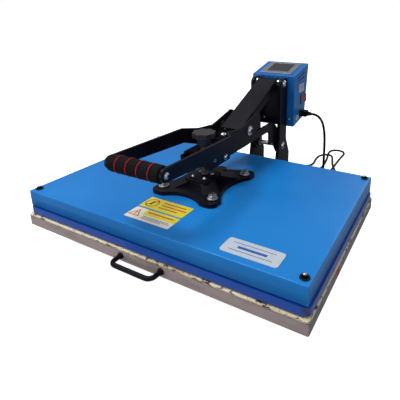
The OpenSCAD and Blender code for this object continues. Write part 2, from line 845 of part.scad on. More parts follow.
// The screws in the bridge, in the box's front and in the back cover
module box_screws()
    color("silver") {
        mirrored([1, 0, 0]) {
            for (z = box_screw_z)
                box_screw(bridge_screw, z, 12);
            box_screw(face_screw, box_screw_z[0], 5);
        }
        on_box_back()
            back_holes() {
                translate([0, 0, -5]) cylinder(h = 5 + box_wall, d = box_screw_d);
                translate([0, 0, box_wall]) dome(7, 1.2);
            }
    }

module control_board()
    color("#1f6b3a")
        on_box_top() {
            slab([-42, 42], [22, 90], [-16, -14.4]);
            for (x = [-1, 1], y = [26, 86])
                translate([x * 38, y, -14.4]) cylinder(h = 14.4 - box_wall, d = 5);
        }

module display_bezel()
    color("#b9bec6")
        on_box_top()
            difference() {
                slab(span(0, bezel_w / 2), bezel_s, [0, bezel_t]);
                slab(span(0, screen_w / 2 + gap), shrink(screen_s, -gap), [-1, bezel_t + 1]);
            }

module display_screen()
    color("#1d2326")
        on_box_top() slab(span(0, screen_w / 2), screen_s, [-14.4, bezel_t - 1]);

// The rocker's housing: a flange outside the box and a cup inside it
module switch_bezel()
    color("#101012")
        difference() {
            union() {
                slab([box_x, box_x + 2], shrink(switch_y, -2), shrink(switch_z, -2));
                slab([box_x - 16, box_x], shrink(switch_y, gap), shrink(switch_z, gap));
            }
            slab([box_x - 10, box_x + 3], shrink(switch_y, 1), shrink(switch_z, 1));
            rod_z([rocker_x, mean_of(switch_y)], shrink(switch_z, gap + 0.1), rocker_pin_d + 2 * run);
        }

module rocker()
    color("#b01820") {
        translate([rocker_x, mean_of(switch_y), mean_of(switch_z) - rocker_h / 2])
            linear_extrude(rocker_h)
                polygon([[-3, -13], [3.6, -14], [5.2, 0], [8, 12.5], [-3, 13]]);
        rod_z([rocker_x, mean_of(switch_y)], shrink(switch_z, 0.4), rocker_pin_d);
    }

module inlet()
    color("#101012")
        difference() {
            union() {
                slab([box_x, box_x + 1.5], inlet_y, inlet_z);
                slab([box_x - 20, box_x], shrink(inlet_y, 2 + gap), shrink(inlet_z, 2 + gap));
            }
            slab([box_x - 18, box_x + 3], shrink(inlet_y, 4), shrink(inlet_z, 4));
        }

// ---- mains lead ----

module cord_connector()
    color("#0c0c0c") {
        slab([box_x - 16, box_x + 2], shrink(inlet_y, 4 + gap), shrink(inlet_z, 4 + gap));
        slab([box_x + 2, box_x + 18], span(mean_of(inlet_y), 10), span(mean_of(inlet_z), 8));
        translate([box_x + 18, route[0][1], route[0][2]])
            rotate([0, 90, 0]) cylinder(h = route[0][0] - box_x - 18, d1 = 14, d2 = cord_d + 2);
    }

module mains_cord()
    color("#0c0c0c") swept_tube(smooth(route, 3), cord_d / 2, 8);

// The plug lies on the table: body, strain relief, two blades and an earth pin
module mains_plug()
    color("#0c0c0c")
        translate(route[len(route) - 1])
            rotate([0, 0, plug_turn]) {
                rotate([0, 90, 0]) cylinder(h = 22, d1 = cord_d + 2, d2 = 13);
                slab([22, 46], [-13, 13], [-10, 10]);
                for (y = [-1, 1])
                    slab([46, 64], [y * 6.4 - 0.8, y * 6.4 + 0.8], [1, 7.3]);
                translate([46, 0, -6]) rotate([0, 90, 0]) cylinder(h = 20, d = 4.8);
            }

// A point on the cubic B-spline of the control points a to d
function curve(a, b, c, d, t) =
    ((1 - t) * (1 - t) * (1 - t) * a + (3 * t * t * t - 6 * t * t + 4) * b
     + (-3 * t * t * t + 3 * t * t + 3 * t + 1) * c + t * t * t * d) / 6;
function smooth(p, n) =
    let (last = len(p) - 1)
    let (q = concat([2 * p[0] - p[1]], p, [2 * p[last] - p[last - 1]]))
    [for (i = [0:last - 1], k = [0:n - 1])
        curve(q[i], q[i + 1], q[i + 2], q[i + 3], k / n), p[last]];

// One polyhedron swept along the points p, with the given radius and number of sides
module swept_tube(p, r, sides) {
    n = len(p);
    function heading(i) =
        let (d = p[min(i + 1, n - 1)] - p[max(i - 1, 0)])
        d / norm(d);
    function level(i) =
        let (h = heading(i))
        let (s = cross(abs(h[2]) > 0.99 ? [0, 1, 0] : [0, 0, 1], h))
        s / norm(s);
    points = [for (i = [0:n - 1], k = [0:sides - 1])
        let (s = level(i), u = cross(heading(i), s), a = 360 * k / sides)
        p[i] + r * (cos(a) * s + sin(a) * u)];
    walls = [for (i = [0:n - 2], k = [0:sides - 1])
        let (a = i * sides, b = a + sides, m = (k + 1) % sides)
        each [[a + k, b + k, b + m], [a + k, b + m, a + m]]];
    caps = [[for (k = [0:sides - 1]) k], [for (k = [1:sides]) n * sides - k]];
    polyhedron(points, concat(walls, caps));
}

base_rail_left();
base_rail_right();
base_cross_tubes();
base_plate();
rubber_feet();
post_left();
post_right();
post_bridge();
lower_shaft();
upper_shaft();
shaft_bolts();
shaft_spacers();
slide_outer();
slide_middle();
slide_inner();
lower_platen();
platen_pad();
pull_handle();
pull_screws();
lift_plate_left();
lift_plate_right();
nut_block();
lift_bolts();
stop_plate();
lever_bolts();
spider_bracket();
spider_studs();
spider_nuts();
hub_plate();
hub_screws();
top_cover();
cover_studs();
cover_washers();
cover_nuts();
heating_plate();
heating_element();
insulation();
safety_labels();
name_plate();
pressure_screw();
pressure_knob();
main_arm();
lever_bar_left();
lever_bar_right();
grip_tube();
foam_grip();
grip_rings();
grip_bolts();
box_shell();
box_back();
box_screws();
control_board();
display_bezel();
display_screen();
switch_bezel();
rocker();
inlet();
cord_connector();
mains_cord();
mains_plug();
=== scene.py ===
"""Looks for the swing-lever heat press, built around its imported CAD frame."""

import math

import bmesh
import bpy
from mathutils import Matrix, Vector, noise


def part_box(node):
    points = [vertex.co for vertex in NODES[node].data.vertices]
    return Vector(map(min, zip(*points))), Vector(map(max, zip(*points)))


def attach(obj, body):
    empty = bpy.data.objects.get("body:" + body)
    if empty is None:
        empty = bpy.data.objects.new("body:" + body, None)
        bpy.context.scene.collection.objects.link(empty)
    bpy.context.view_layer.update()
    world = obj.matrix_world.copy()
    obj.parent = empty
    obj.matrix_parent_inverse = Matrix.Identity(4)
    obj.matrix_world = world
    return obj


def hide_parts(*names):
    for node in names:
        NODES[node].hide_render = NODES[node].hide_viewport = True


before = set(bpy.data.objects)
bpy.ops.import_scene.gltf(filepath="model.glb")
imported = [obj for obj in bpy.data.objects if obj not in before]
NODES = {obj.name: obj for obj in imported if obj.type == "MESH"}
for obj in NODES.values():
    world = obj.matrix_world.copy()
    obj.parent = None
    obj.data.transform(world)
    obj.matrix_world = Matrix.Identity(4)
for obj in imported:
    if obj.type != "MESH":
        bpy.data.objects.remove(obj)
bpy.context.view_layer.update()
MM = 0.001
BEVEL_ANGLE = 30.0


# ---- materials ----


class Look:
    """A procedural material under construction: its node tree and its Principled shader."""

    def __init__(self, name, color, roughness, metallic=0.0, **sockets):
        self.material = bpy.data.materials.new(name)
        self.material.use_nodes = True
        self.tree = self.material.node_tree
        self.shader = self.tree.nodes["Principled BSDF"]
        self.set("Base Color", (*color, 1.0))
        self.set("Roughness", roughness)
        self.set("Metallic", metallic)
        for socket, value in sockets.items():
            self.set(socket.replace("_", " "), value)
        coordinates = self.tree.nodes.new("ShaderNodeTexCoord")
        self.place = coordinates.outputs["Object"]

    def set(self, socket, value):
        self.shader.inputs[socket].default_value = value

    def link(self, output, socket):
        self.tree.links.new(output, self.shader.inputs[socket])

    def node(self, kind, inputs=(), **settings):
        made = self.tree.nodes.new(kind)
        for key, value in settings.items():
            setattr(made, key, value)
        for key, value in dict(inputs).items():
            socket = made.inputs[key]
            if isinstance(value, bpy.types.NodeSocket):
                self.tree.links.new(value, socket)
            else:
                socket.default_value = value
        return made

    def stretched(self, scale):
        return self.node("ShaderNodeMapping", {"Vector": self.place, "Scale": scale}).outputs[0]

    def noise(self, scale, detail=3.0, rough=0.55, stretch=None, distortion=0.0):
        vector = self.stretched(stretch) if stretch else self.place
        made = self.node(
            "ShaderNodeTexNoise",
            {"Vector": vector, "Scale": scale, "Detail": detail, "Roughness": rough,
             "Distortion": distortion},
        )
        return made.outputs["Fac"]

    def spots(self, scale):
        made = self.node("ShaderNodeTexVoronoi", {"Vector": self.place, "Scale": scale},
                         feature="F1")
        return made.outputs["Distance"]

    def remap(self, value, low, high, to_low=0.0, to_high=1.0):
        made = self.node(
            "ShaderNodeMapRange",
            {"Value": value, "From Min": low, "From Max": high, "To Min": to_low,
             "To Max": to_high},
        )
        return made.outputs[0]

    def math(self, operation, a, b=0.0):
        made = self.node("ShaderNodeMath", operation=operation)
        for socket, value in zip(made.inputs, (a, b)):
            if isinstance(value, bpy.types.NodeSocket):
                self.tree.links.new(value, socket)
            else:
                socket.default_value = value
        return made.outputs[0]

    def axis(self, index):
        split = self.node("ShaderNodeSeparateXYZ", {"Vector": self.place})
        return split.outputs[index]

    def mix(self, factor, a, b):
        made = self.node("ShaderNodeMix", data_type="RGBA")
        for socket, value in ((made.inputs[0], factor), (made.inputs[6], a), (made.inputs[7], b)):
            if isinstance(value, bpy.types.NodeSocket):
                self.tree.links.new(value, socket)
            elif isinstance(value, tuple):
                socket.default_value = (*value, 1.0) if len(value) == 3 else value
            else:
                socket.default_value = value
        return made.outputs[2]

    def bump(self, height, strength, distance, after=None):
        inputs = {"Height": height, "Strength": strength, "Distance": distance}
        if after is not None:
            inputs["Normal"] = after
        made = self.node("ShaderNodeBump", inputs)
        self.link(made.outputs[0], "Normal")
        return made.outputs[0]


def powder_coat(name, color, roughness=0.38, worn=(0.09, 0.085, 0.09), peel=0.14):
    """Powder coat: fine orange peel, uneven gloss, dust and a few rubbed scratches."""
    look = Look(name, color, roughness)
    look.set("Specular IOR Level", 0.11)
    cloudy = look.noise(9.0, 5.0, 0.6)
    dust = look.remap(cloudy, 0.45, 0.8)
    scratch = look.noise(60.0, 6.0, 0.7, stretch=(1.0, 0.12, 1.6))
    rubbed = look.remap(scratch, 0.72, 0.80)
    lighter = tuple(min(1.0, c * 1.6 + 0.006) for c in color)
    base = look.mix(look.math("MULTIPLY", dust, 0.5), color, lighter)
    look.link(look.mix(look.math("MULTIPLY", rubbed, 0.25), base, worn), "Base Color")
    look.link(look.remap(cloudy, 0.3, 0.75, roughness - 0.08, roughness + 0.14), "Roughness")
    first = look.bump(look.noise(900.0, 2.0, 0.5), peel, 0.0002)
    look.bump(look.noise(260.0, 3.0, 0.5), peel * 0.7, 0.0005, first)
    return look.material


def gloss_paint(name, color, deep, pale):
    """Glossy coloured powder coat with slow colour drift and soft rub marks."""
    look = Look(name, color, 0.34)
    look.set("Specular IOR Level", 0.2)
    look.set("Coat Weight", 0.08)
    look.set("Coat Roughness", 0.14)
    drift = look.noise(3.2, 3.0, 0.5)
    base = look.mix(look.remap(drift, 0.35, 0.65), deep, pale)
    marks = look.noise(34.0, 7.0, 0.72, stretch=(1.0, 0.25, 1.0))
    look.link(look.mix(look.remap(marks, 0.66, 0.82, 0.0, 0.25), base, pale), "Base Color")
    look.link(look.remap(look.noise(14.0, 5.0, 0.6), 0.3, 0.8, 0.28, 0.44), "Roughness")
    first = look.bump(look.noise(420.0, 2.0, 0.5), 0.07, 0.0002)
    look.bump(look.noise(2.4, 2.0, 0.5), 0.10, 0.002, first)
    return look.material


def metal(name, color, roughness, grain=(1.0, 1.0, 1.0), tint=None, strength=0.12):
    """Bare or plated metal with fine grain, and a second tint in patches."""
    look = Look(name, color, roughness, 1.0)
    patch = look.noise(70.0, 5.0, 0.65)
    second = tint or tuple(c * 0.62 for c in color)
    look.link(look.mix(look.remap(patch, 0.40, 0.72, 0.0, 0.8), color, second), "Base Color")
    fine = look.noise(1500.0, 2.0, 0.5, stretch=grain)
    look.link(look.remap(patch, 0.3, 0.75, roughness - 0.06, roughness + 0.16), "Roughness")
    look.bump(fine, strength, 0.0001)
    return look.material


def soft_rubber(name, color, roughness=0.62, pores=1200.0, strength=0.3, pale=None):
    """Rubber, foam or soft plastic: fine pores and a faint bloom of dust."""
    look = Look(name, color, roughness)
    look.set("Specular IOR Level", 0.14)
    dust = look.remap(look.noise(24.0, 6.0, 0.65), 0.45, 0.8, 0.0, 0.6)
    second = pale or tuple(c * 2.2 + 0.01 for c in color)
    look.link(look.mix(dust, color, second), "Base Color")
    first = look.bump(look.spots(pores), strength, 0.0002)
    look.bump(look.noise(pores * 0.3, 4.0, 0.6), strength * 0.6, 0.0004, first)
    return look.material


def moulded(name, color, roughness=0.4, texture=1400.0, strength=0.12, coat=0.0):
    """Moulded plastic with a fine spark-eroded texture."""
    look = Look(name, color, roughness)
    look.set("Coat Weight", coat)
    second = tuple(c * 1.5 + 0.006 for c in color)
    cloud = look.noise(40.0, 5.0, 0.6)
    look.link(look.mix(look.remap(cloud, 0.4, 0.8, 0.0, 0.5), color, second), "Base Color")
    look.link(look.remap(cloud, 0.3, 0.75, roughness - 0.06, roughness + 0.1), "Roughness")
    look.bump(look.noise(texture, 2.0, 0.6), strength, 0.0001)
    return look.material


def print_film(name, color, stain):
    """Printed film: slightly uneven ink under a satin laminate, dirty towards its edges."""
    look = Look(name, color, 0.34)
    look.set("Coat Weight", 0.3)
    worn = look.remap(look.noise(55.0, 6.0, 0.7), 0.5, 0.78, 0.0, 0.55)
    look.link(look.mix(worn, color, stain), "Base Color")
    look.link(look.remap(look.noise(30.0, 4.0, 0.6), 0.3, 0.7, 0.26, 0.46), "Roughness")
    look.bump(look.noise(220.0, 3.0, 0.6), 0.08, 0.0002)
    return look.material


def threaded(name, color, roughness, pitch):
    """Steel rod with a thread's ridges along z."""
    look = Look(name, color, roughness, 1.0)
    oil = look.noise(45.0, 4.0, 0.6)
    dark = tuple(c * 0.3 for c in color)
    look.link(look.mix(look.remap(oil, 0.4, 0.75), color, dark), "Base Color")
    turns = look.math("MULTIPLY", look.axis(2), 2.0 * math.pi / pitch)
    ridges = look.math("SINE", turns)
    look.bump(ridges, 0.9, pitch * 0.25)
    return look.material


def platen_paint():
    """Matte taupe coat with grime, a bare grey right edge and one red touch of paint."""
    taupe, grime, bare = (0.37, 0.295, 0.285), (0.13, 0.10, 0.095), (0.20, 0.20, 0.22)
    look = Look("taupe_coat", taupe, 0.55)
    look.set("Specular IOR Level", 0.3)
    dirt = look.remap(look.noise(16.0, 7.0, 0.7, stretch=(0.5, 0.5, 2.0)), 0.48, 0.78, 0.0, 0.8)
    coat = look.mix(dirt, taupe, grime)
    bare_x, patch_y, patch_reach = (0.3029, 0.3033), -0.165, (0.007, 0.010)
    edge = look.remap(look.axis(0), *bare_x)
    side = look.mix(edge, coat, look.mix(dirt, bare, (0.06, 0.06, 0.07)))
    near = look.math("ABSOLUTE", look.math("SUBTRACT", look.axis(1), patch_y))
    patch = look.math("MULTIPLY", look.remap(near, *patch_reach, 1.0, 0.0), edge)
    look.link(look.mix(patch, side, (0.35, 0.02, 0.03)), "Base Color")
    look.bump(look.noise(700.0, 3.0, 0.6), 0.2, 0.0003)
    return look.material


def pad_foam():
    """Cream silicone foam, browned in clouds and scorched in ragged patches round its rim."""
    look = Look("pad_foam", (0.74, 0.64, 0.44), 0.75)
    look.set("Specular IOR Level", 0.2)
    tan = look.remap(look.noise(9.0, 4.0, 0.55), 0.38, 0.75)
    cream = look.mix(tan, (0.78, 0.70, 0.52), (0.64, 0.51, 0.32))
    ragged = look.noise(150.0, 8.0, 0.75, stretch=(0.5, 0.5, 1.6), distortion=0.4)
    heavy = look.remap(look.noise(13.0, 3.0, 0.5), 0.4, 0.65, -0.03, 0.05)
    scorched = look.remap(look.math("ADD", ragged, heavy), 0.52, 0.58)
    rim_x, rim_y, middle_y = (0.290, 0.302), (0.190, 0.202), -0.101
    across = look.remap(look.math("ABSOLUTE", look.axis(0)), *rim_x)
    along = look.math("ABSOLUTE", look.math("SUBTRACT", look.axis(1), middle_y))
    rim = look.math("MAXIMUM", across, look.remap(along, *rim_y))
    scorched = look.math("MULTIPLY", scorched, rim)
    look.link(look.mix(scorched, cream, (0.03, 0.018, 0.014)), "Base Color")
    first = look.bump(look.spots(800.0), 0.5, 0.0004)
    look.bump(look.noise(120.0, 5.0, 0.7), 0.5, 0.0012, first)
    return look.material


def plate_paint():
    """Blue coat on the heated plate's edge, browned at one corner, and a grey working face."""
    blue = (0.006, 0.062, 0.36)
    look = Look("plate_coat", blue, 0.38)
    look.set("Coat Weight", 0.15)
    drift = look.mix(look.remap(look.noise(12.0, 5.0, 0.6), 0.35, 0.7), blue, (0.006, 0.085, 0.42))
    corner_x, corner_y, grey_below = 0.30, -0.303, (0.1021, 0.1024)
    dx = look.math("SUBTRACT", look.axis(0), corner_x)
    dy = look.math("SUBTRACT", look.axis(1), corner_y)
    away = look.math("SQRT", look.math("ADD", look.math("MULTIPLY", dx, dx),
                                       look.math("MULTIPLY", dy, dy)))
    ragged = look.math("ADD", away, look.remap(look.noise(90.0, 6.0, 0.7), 0.3, 0.7, -0.02, 0.02))
    residue = look.remap(ragged, 0.001, 0.005, 0.9, 0.0)
    edge = look.mix(residue, drift, (0.06, 0.03, 0.02))
    under = look.remap(look.axis(2), *grey_below, 1.0, 0.0)
    wiped = look.remap(look.noise(22.0, 6.0, 0.65), 0.35, 0.7)
    face = look.mix(wiped, (0.040, 0.040, 0.043), (0.075, 0.072, 0.070))
    look.link(look.mix(under, edge, face), "Base Color")
    look.bump(look.noise(500.0, 3.0, 0.6), 0.12, 0.0002)
    return look.material


def label_film():
    """Laminated film: yellow for the rear label, white with a yellow band for the front one."""
    yellow, white = (0.66, 0.58, 0.015), (0.74, 0.70, 0.62)
    look = Look("label_film", yellow, 0.36)
    look.set("Coat Weight", 0.2)
    between_labels = (-0.2435, -0.2425)
    band_bottom, band_left = (-0.2625, -0.262), (-0.0285, -0.028)
    front = look.remap(look.axis(1), *between_labels, 1.0, 0.0)
    below = look.remap(look.axis(1), *band_bottom, 1.0, 0.0)
    left = look.remap(look.axis(0), *band_left, 1.0, 0.0)
    plain = look.math("MULTIPLY", front, look.math("MAXIMUM", below, left))
    printed = look.mix(plain, yellow, white)
    worn = look.remap(look.noise(55.0, 6.0, 0.7), 0.55, 0.8, 0.0, 0.35)
    look.link(look.mix(worn, printed, (0.45, 0.34, 0.12)), "Base Color")
    look.bump(look.noise(220.0, 3.0, 0.6), 0.08, 0.0002)
    return look.material


def capped_nut():
    """A blackened cap nut whose dome is worn back to bright zinc."""
    bright_z = (0.1562, 0.1568)
    look = Look("capped_nut", (0.5, 0.5, 0.52), 0.3, 1.0)
    worn = look.math("ADD", look.axis(2), look.remap(look.noise(400.0, 4.0, 0.6), 0.3, 0.7,
                                                     -0.0004, 0.0004))
    bright = look.remap(worn, *bright_z)
    look.link(look.mix(bright, (0.012, 0.012, 0.014), (0.62, 0.62, 0.64)), "Base Color")
    look.bump(look.noise(900.0, 3.0, 0.6), 0.1, 0.0001)
    return look.material


BLACK = powder_coat("black_powder", (0.0036, 0.0026, 0.0064), 0.36)
ARM = powder_coat("arm_powder", (0.0075, 0.006, 0.0095), 0.44)
BLUE = gloss_paint("blue_gloss", (0.006, 0.19, 0.56), (0.005, 0.17, 0.53), (0.010, 0.21, 0.60))
# The control box has the cover's blue paint, darkened overall here as painted shade for its shaded
# front panel.
SHADED_BOX_BLUE = gloss_paint("box_blue_shaded", (0.005, 0.14, 0.46), (0.004, 0.12, 0.41), (0.009, 0.165, 0.49))
ZINC = metal("zinc", (0.56, 0.57, 0.59), 0.3, tint=(0.42, 0.41, 0.37))
STEEL = metal("turned_steel", (0.36, 0.36, 0.38), 0.3, grain=(4.0, 0.3, 0.3))
CHROME = metal("bolt_chrome", (0.70, 0.70, 0.72), 0.2, strength=0.04)
RUBBER = soft_rubber("black_rubber", (0.008, 0.008, 0.008), 0.6)
FOAM = soft_rubber("foam_black", (0.0036, 0.0030, 0.0040), 0.85, 900.0, 0.6,
                   pale=(0.0075, 0.0065, 0.008))
CORD = soft_rubber("cord_pvc", (0.004, 0.004, 0.004), 0.42, 2200.0, 0.12,
                   pale=(0.008, 0.008, 0.008))
KNOB = moulded("knob_plastic", (0.019, 0.017, 0.019), 0.5, 1100.0, 0.3)
GLOSS_BLACK = moulded("gloss_black", (0.008, 0.008, 0.009), 0.2, coat=0.3)
# Flat black for the shade inside hex sockets: painted shade.
SOCKET_SHADOW = powder_coat("socket_shadow", (0.003, 0.003, 0.003), 0.6)
ROCKER_RED = moulded("rocker_red", (0.20, 0.006, 0.010), 0.16, strength=0.03, coat=0.5)
RING_RED = soft_rubber("ring_red", (0.36, 0.008, 0.018), 0.5, 1600.0, 0.15,
                       pale=(0.45, 0.05, 0.06))
INK_RED = print_film("ink_red", (0.50, 0.05, 0.02), (0.4, 0.12, 0.04))
INK_DARK = print_film("ink_dark", (0.03, 0.03, 0.035), (0.08, 0.07, 0.06))
INK_ORANGE = print_film("ink_orange", (0.60, 0.16, 0.01), (0.5, 0.2, 0.03))
INK_BLUE = print_film("ink_blue", (0.02, 0.09, 0.35), (0.05, 0.14, 0.4))
PALE_FILM = print_film("pale_film", (0.50, 0.56, 0.62), (0.36, 0.42, 0.5))


# ---- camera, lights and floor ----


def look_from(position, right, down, forward):
    """A camera matrix from its place and its three image directions."""
    rows = Matrix((right, tuple(-v for v in down), tuple(-v for v in forward)))
    return Matrix.Translation(position) @ rows.transposed().to_4x4()


camera_data = bpy.data.cameras.new("camera")
camera = bpy.data.objects.new("camera", camera_data)
bpy.context.scene.collection.objects.link(camera)
camera_data.sensor_width = 36.0
camera_data.lens = 34.8
camera_data.shift_x = -0.098
camera_data.shift_y = -0.183
camera_data.clip_start = 0.01
camera.matrix_world = look_from(
    (0.4293, -0.7146, 0.4999),
    (0.8714, 0.4905, -0.0073), (0.136, -0.2559, -0.9571), (-0.4713, 0.833, -0.2897),
)
bpy.context.scene.camera = camera


def area_light(name, place, aim, size, power):
    data = bpy.data.lights.new(name, "AREA")
    data.shape = "RECTANGLE"
    data.size, data.size_y = size
    data.energy = power
    light = bpy.data.objects.new(name, data)
    bpy.context.scene.collection.objects.link(light)
    light.location = place
    light.rotation_euler = (Vector(aim) - Vector(place)).to_track_quat("-Z", "Y").to_euler()


area_light("key", (-1.0, -0.35, 2.7), (0.0, -0.05, 0.1), (1.2, 1.2), 58.0)
area_light("fill", (1.9, -1.6, 1.3), (0.0, 0.0, 0.15), (1.2, 1.2), 9.0)
area_light("front", (-0.5, -1.45, 0.3), (0.0, -0.3, 0.1), (1.5, 0.4), 6.2)
area_light("rim", (0.6, 2.4, 1.6), (0.0, 0.0, 0.2), (1.6, 0.8), 8.0)

world = bpy.data.worlds.new("studio")
world.use_nodes = True
world.node_tree.nodes["Background"].inputs["Color"].default_value = (0.9, 0.93, 1.0, 1.0)
world.node_tree.nodes["Background"].inputs["Strength"].default_value = 0.34
bpy.context.scene.world = world
bpy.context.scene.view_settings.view_transform = "Standard"


def stage_piece(name, mesh, color, near_glow):
    """A studio surface that glows, more so away from the press, and stays out of reflections."""
    piece = bpy.data.objects.new(name, mesh)
    bpy.context.scene.collection.objects.link(piece)
    look = Look(name, color, 0.7)
    look.link(look.mix(look.noise(4.0), color, tuple(c * 0.98 for c in color)), "Base Color")
    look.set("Emission Color", (1.0, 1.0, 1.0, 1.0))
    away = look.node("ShaderNodeVectorMath", {0: look.place}, operation="LENGTH").outputs["Value"]
    look.link(look.remap(away, 0.7, 1.8, near_glow, 1.0), "Emission Strength")
    mesh.materials.append(look.material)
    piece.visible_glossy = False
    piece.visible_diffuse = False
    return piece


def studio():
    """A pale floor and a pale backdrop all round."""
    ground = bpy.data.meshes.new("floor")
    ground.from_pydata([(-9, -9, 0), (9, -9, 0), (9, 9, 0), (-9, 9, 0)], [], [(0, 1, 2, 3)])
    stage_piece("floor", ground, (0.80, 0.80, 0.80), 0.86)
    shell = bmesh.new()
    bmesh.ops.create_uvsphere(shell, u_segments=48, v_segments=24, radius=11.0)
    mesh = bpy.data.meshes.new("backdrop")
    shell.to_mesh(mesh)
    shell.free()
    stage_piece("backdrop", mesh, (0.0, 0.0, 0.0), 1.0).visible_shadow = False


studio()


# ---- shared builders ----


def add_piece(name, mesh, material, body, replaces=(), smooth=True):
    piece = bpy.data.objects.new(name, mesh)
    bpy.context.scene.collection.objects.link(piece)
    mesh.materials.clear()
    mesh.materials.append(material)
    if smooth:
        for polygon in mesh.polygons:
            polygon.use_smooth = True
    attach(piece, body)
    if replaces:
        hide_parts(*replaces)
    return piece


def mesh_from(bm, name):
    """A mesh from bm, with its faces turned outwards; bm is freed."""
    mesh = bpy.data.meshes.new(name)
    bmesh.ops.recalc_face_normals(bm, faces=bm.faces)
    bm.to_mesh(mesh)
    bm.free()
    return mesh


def bevel(piece, width, segments):
    modifier = piece.modifiers.new("edge", "BEVEL")
    modifier.width = width
    modifier.segments = segments
    modifier.limit_method = "ANGLE"
    modifier.angle_limit = math.radians(BEVEL_ANGLE)
    modifier.harden_normals = True
    modifier.use_clamp_overlap = True


def dress(name, material, width=0.0005, segments=2):
    """Gives a CAD node its material and slightly rounded edges."""
    node = NODES[name]
    mesh = node.data
    mesh.materials.clear()
    mesh.materials.append(material)
    for polygon in mesh.polygons:
        polygon.use_smooth = True
    if width:
        weld = node.modifiers.new("weld", "WELD")
        weld.merge_threshold = 0.00001
        bevel(node, width, segments)
        flatten = node.modifiers.new("flatten", "WEIGHTED_NORMAL")
        flatten.weight = 100
        flatten.keep_sharp = False


# ---- mains lead ----

ROUTE_MM = [
    (92, 289, 221), (109, 289.5, 220.5), (125, 290, 205), (132, 291, 175), (134, 291, 142),
    (134, 292, 108), (134, 293, 72), (130, 303, 27), (126, 338, 3.6), (121, 390, 3.6),
    (119, 445, 3.6), (117.5, 500, 3.6), (116, 558, 3.6), (120, 597.5, 3.6), (106, 623, 3.6),
    (76, 623, 3.6), (62, 597.5, 3.6), (70, 560, 3.6), (79, 518, 3.6), (86, 460, 3.6),
    (85, 410, 3.6), (62, 370, 3.6), (12, 352, 3.6), (-44, 350, 3.6), (-80, 370, 3.6),
    (-81, 408, 3.6), (-46, 427, 3.6), (-4, 420, 3.6), (34, 422, 3.6), (53, 446, 3.6),
    (48, 482, 4), (44.5, 512, 6), (52, 535, 8.5), (72, 544, 11.5), (92, 535, 13),
    (99.5, 512, 9.8), (109, 476, 10), (122, 440, 13), (144, 400, 10.5), (166, 362, 10),
]
CORD_DIAMETER = 0.007
STEPS_PER_POINT = 6


def smooth_route(points, steps):
    """Points on the cubic B-spline of the route, the same curve as the CAD tube's."""
    places = [Vector(p) * MM for p in points]
    ends = [2 * places[0] - places[1]], [2 * places[-1] - places[-2]]
    padded = ends[0] + places + ends[1]
    curve = []
    for a, b, c, d in zip(padded, padded[1:], padded[2:], padded[3:]):
        for k in range(steps):
            t = k / steps
            curve.append(
                ((1 - t) ** 3 * a + (3 * t ** 3 - 6 * t ** 2 + 4) * b
                 + (-3 * t ** 3 + 3 * t ** 2 + 3 * t + 1) * c + t ** 3 * d) / 6
            )
    return curve + [places[-1]]


def cord_piece():
    """The mains lead, a round cord along the CAD tube's route between its plug and connector."""
    route = smooth_route(ROUTE_MM, STEPS_PER_POINT)
    data = bpy.data.curves.new("lead", "CURVE")
    data.dimensions = "3D"
    data.bevel_depth = CORD_DIAMETER / 2
    data.bevel_resolution = 5
    data.use_fill_caps = True
    spline = data.splines.new("POLY")
    spline.points.add(len(route) - 1)
    for point, place in zip(spline.points, route):
        point.co = (*place, 1.0)
    data.materials.append(CORD)
    piece = bpy.data.objects.new("lead", data)
    bpy.context.scene.collection.objects.link(piece)
    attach(piece, "base")
    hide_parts("mains_cord")


cord_piece()


# ---- soft parts ----


def ring_of(x_limit, y_limit, corner, inset, count=12):
    """A rounded rectangle about the origin, drawn in by inset, corner by corner."""
    radius = max(corner - inset, 0.0005)
    points = []
    for turn, (sx, sy) in enumerate(((1, 1), (-1, 1), (-1, -1), (1, -1))):
        middle = Vector((sx * (x_limit - inset - radius), sy * (y_limit - inset - radius), 0))
        for k in range(count + 1):
            angle = math.pi / 2 * (turn + k / count)
            points.append(middle + radius * Vector((math.cos(angle), math.sin(angle), 0)))
        points.extend(_along(points[-1], turn, x_limit - inset, y_limit - inset, radius))
    return points


def _along(start, turn, x_limit, y_limit, radius):
    """Even steps from the end of one corner to the start of the next."""
    ends = ((-(x_limit - radius), y_limit), (-x_limit, -(y_limit - radius)),
            (x_limit - radius, -y_limit), (x_limit, y_limit - radius))
    end = Vector((*ends[turn], 0))
    steps = 80 if turn % 2 == 0 else 54
    return [start.lerp(end, k / steps) for k in range(1, steps)]


def bridge_rings(bm, rings):
    """Quads between neighbouring rings of vertices."""
    for lower, upper in zip(rings, rings[1:]):
        count = len(lower)
        for k in range(count):
            m = (k + 1) % count
            bm.faces.new((lower[k], lower[m], upper[m], upper[k]))


def pad_piece():
    """The silicone foam pad: soft rounded edges that have spread unevenly, and a flat top."""
    low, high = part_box("platen_pad")
    middle = (Vector(low) + Vector(high)) / 2
    half = (Vector(high) - Vector(low)) / 2
    thick = high[2] - low[2]
    corner = 0.0042
    bm = bmesh.new()
    rings = []
    profile = ((0.0012, 0.0), (0.0002, 0.18), (0.0, 0.5), (0.0002, 0.78), (0.0011, 0.95),
               (0.0028, 1.0), (0.012, 1.0), (0.06, 1.0), (0.13, 1.0), (0.19, 1.0))
    for inset, rise in profile:
        ring = []
        for point in ring_of(half.x, half.y, corner, inset):
            place = Vector((middle.x + point.x, middle.y + point.y, low[2] + rise * thick))
            rough = noise.noise(Vector((place.x * 26, place.y * 26, 0.3)))
            fine = noise.noise(Vector((place.x * 190, place.y * 190, rise * 2.0)))
            outward = Vector((point.x / half.x, point.y / half.y, 0)).normalized()
            if inset < 0.01:
                place += outward * (0.0006 * rough + 0.0005 * fine - 0.0002)
            if rise == 1.0:
                place.z += 0.00025 * rough - 0.0001
            ring.append(bm.verts.new(place))
        rings.append(ring)
    bridge_rings(bm, rings)
    bm.faces.new(rings[-1])
    bm.faces.new(reversed(rings[0]))
    piece = add_piece("soft_pad", mesh_from(bm, "soft_pad"), pad_foam(), "drawer",
                      ["platen_pad"])


